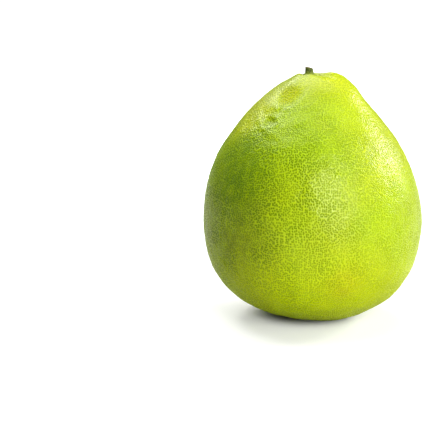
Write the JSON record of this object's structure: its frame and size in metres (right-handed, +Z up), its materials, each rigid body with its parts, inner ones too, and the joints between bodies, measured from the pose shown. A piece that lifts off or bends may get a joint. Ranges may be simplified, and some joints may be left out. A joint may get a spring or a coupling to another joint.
{
  "type": "pomelo",
  "caption": "Whole pear-shaped pomelo with a finely pitted green rind, standing on its blossom end, its stem cut to a short stub.",
  "frame": {"origin": "on the surface that the fruit stands on, under the middle of the fruit's width and depth", "axes": "+Z up, from the blossom end to the stem; the front faces -Y; the fuller shoulder of the crown is on the +X side"},
  "size_m": [0.1509, 0.1528, 0.174],
  "materials": {
    "rind": "fresh yellow-green citrus rind: waxy, softly glossy, with close oil-gland pits of a darker green",
    "stem": "matt dark olive bark with a paler, dry cut"
  },
  "bodies": {
    "root": {"fruit": "rind", "stem": "stem"}
  },
  "joints": []
}
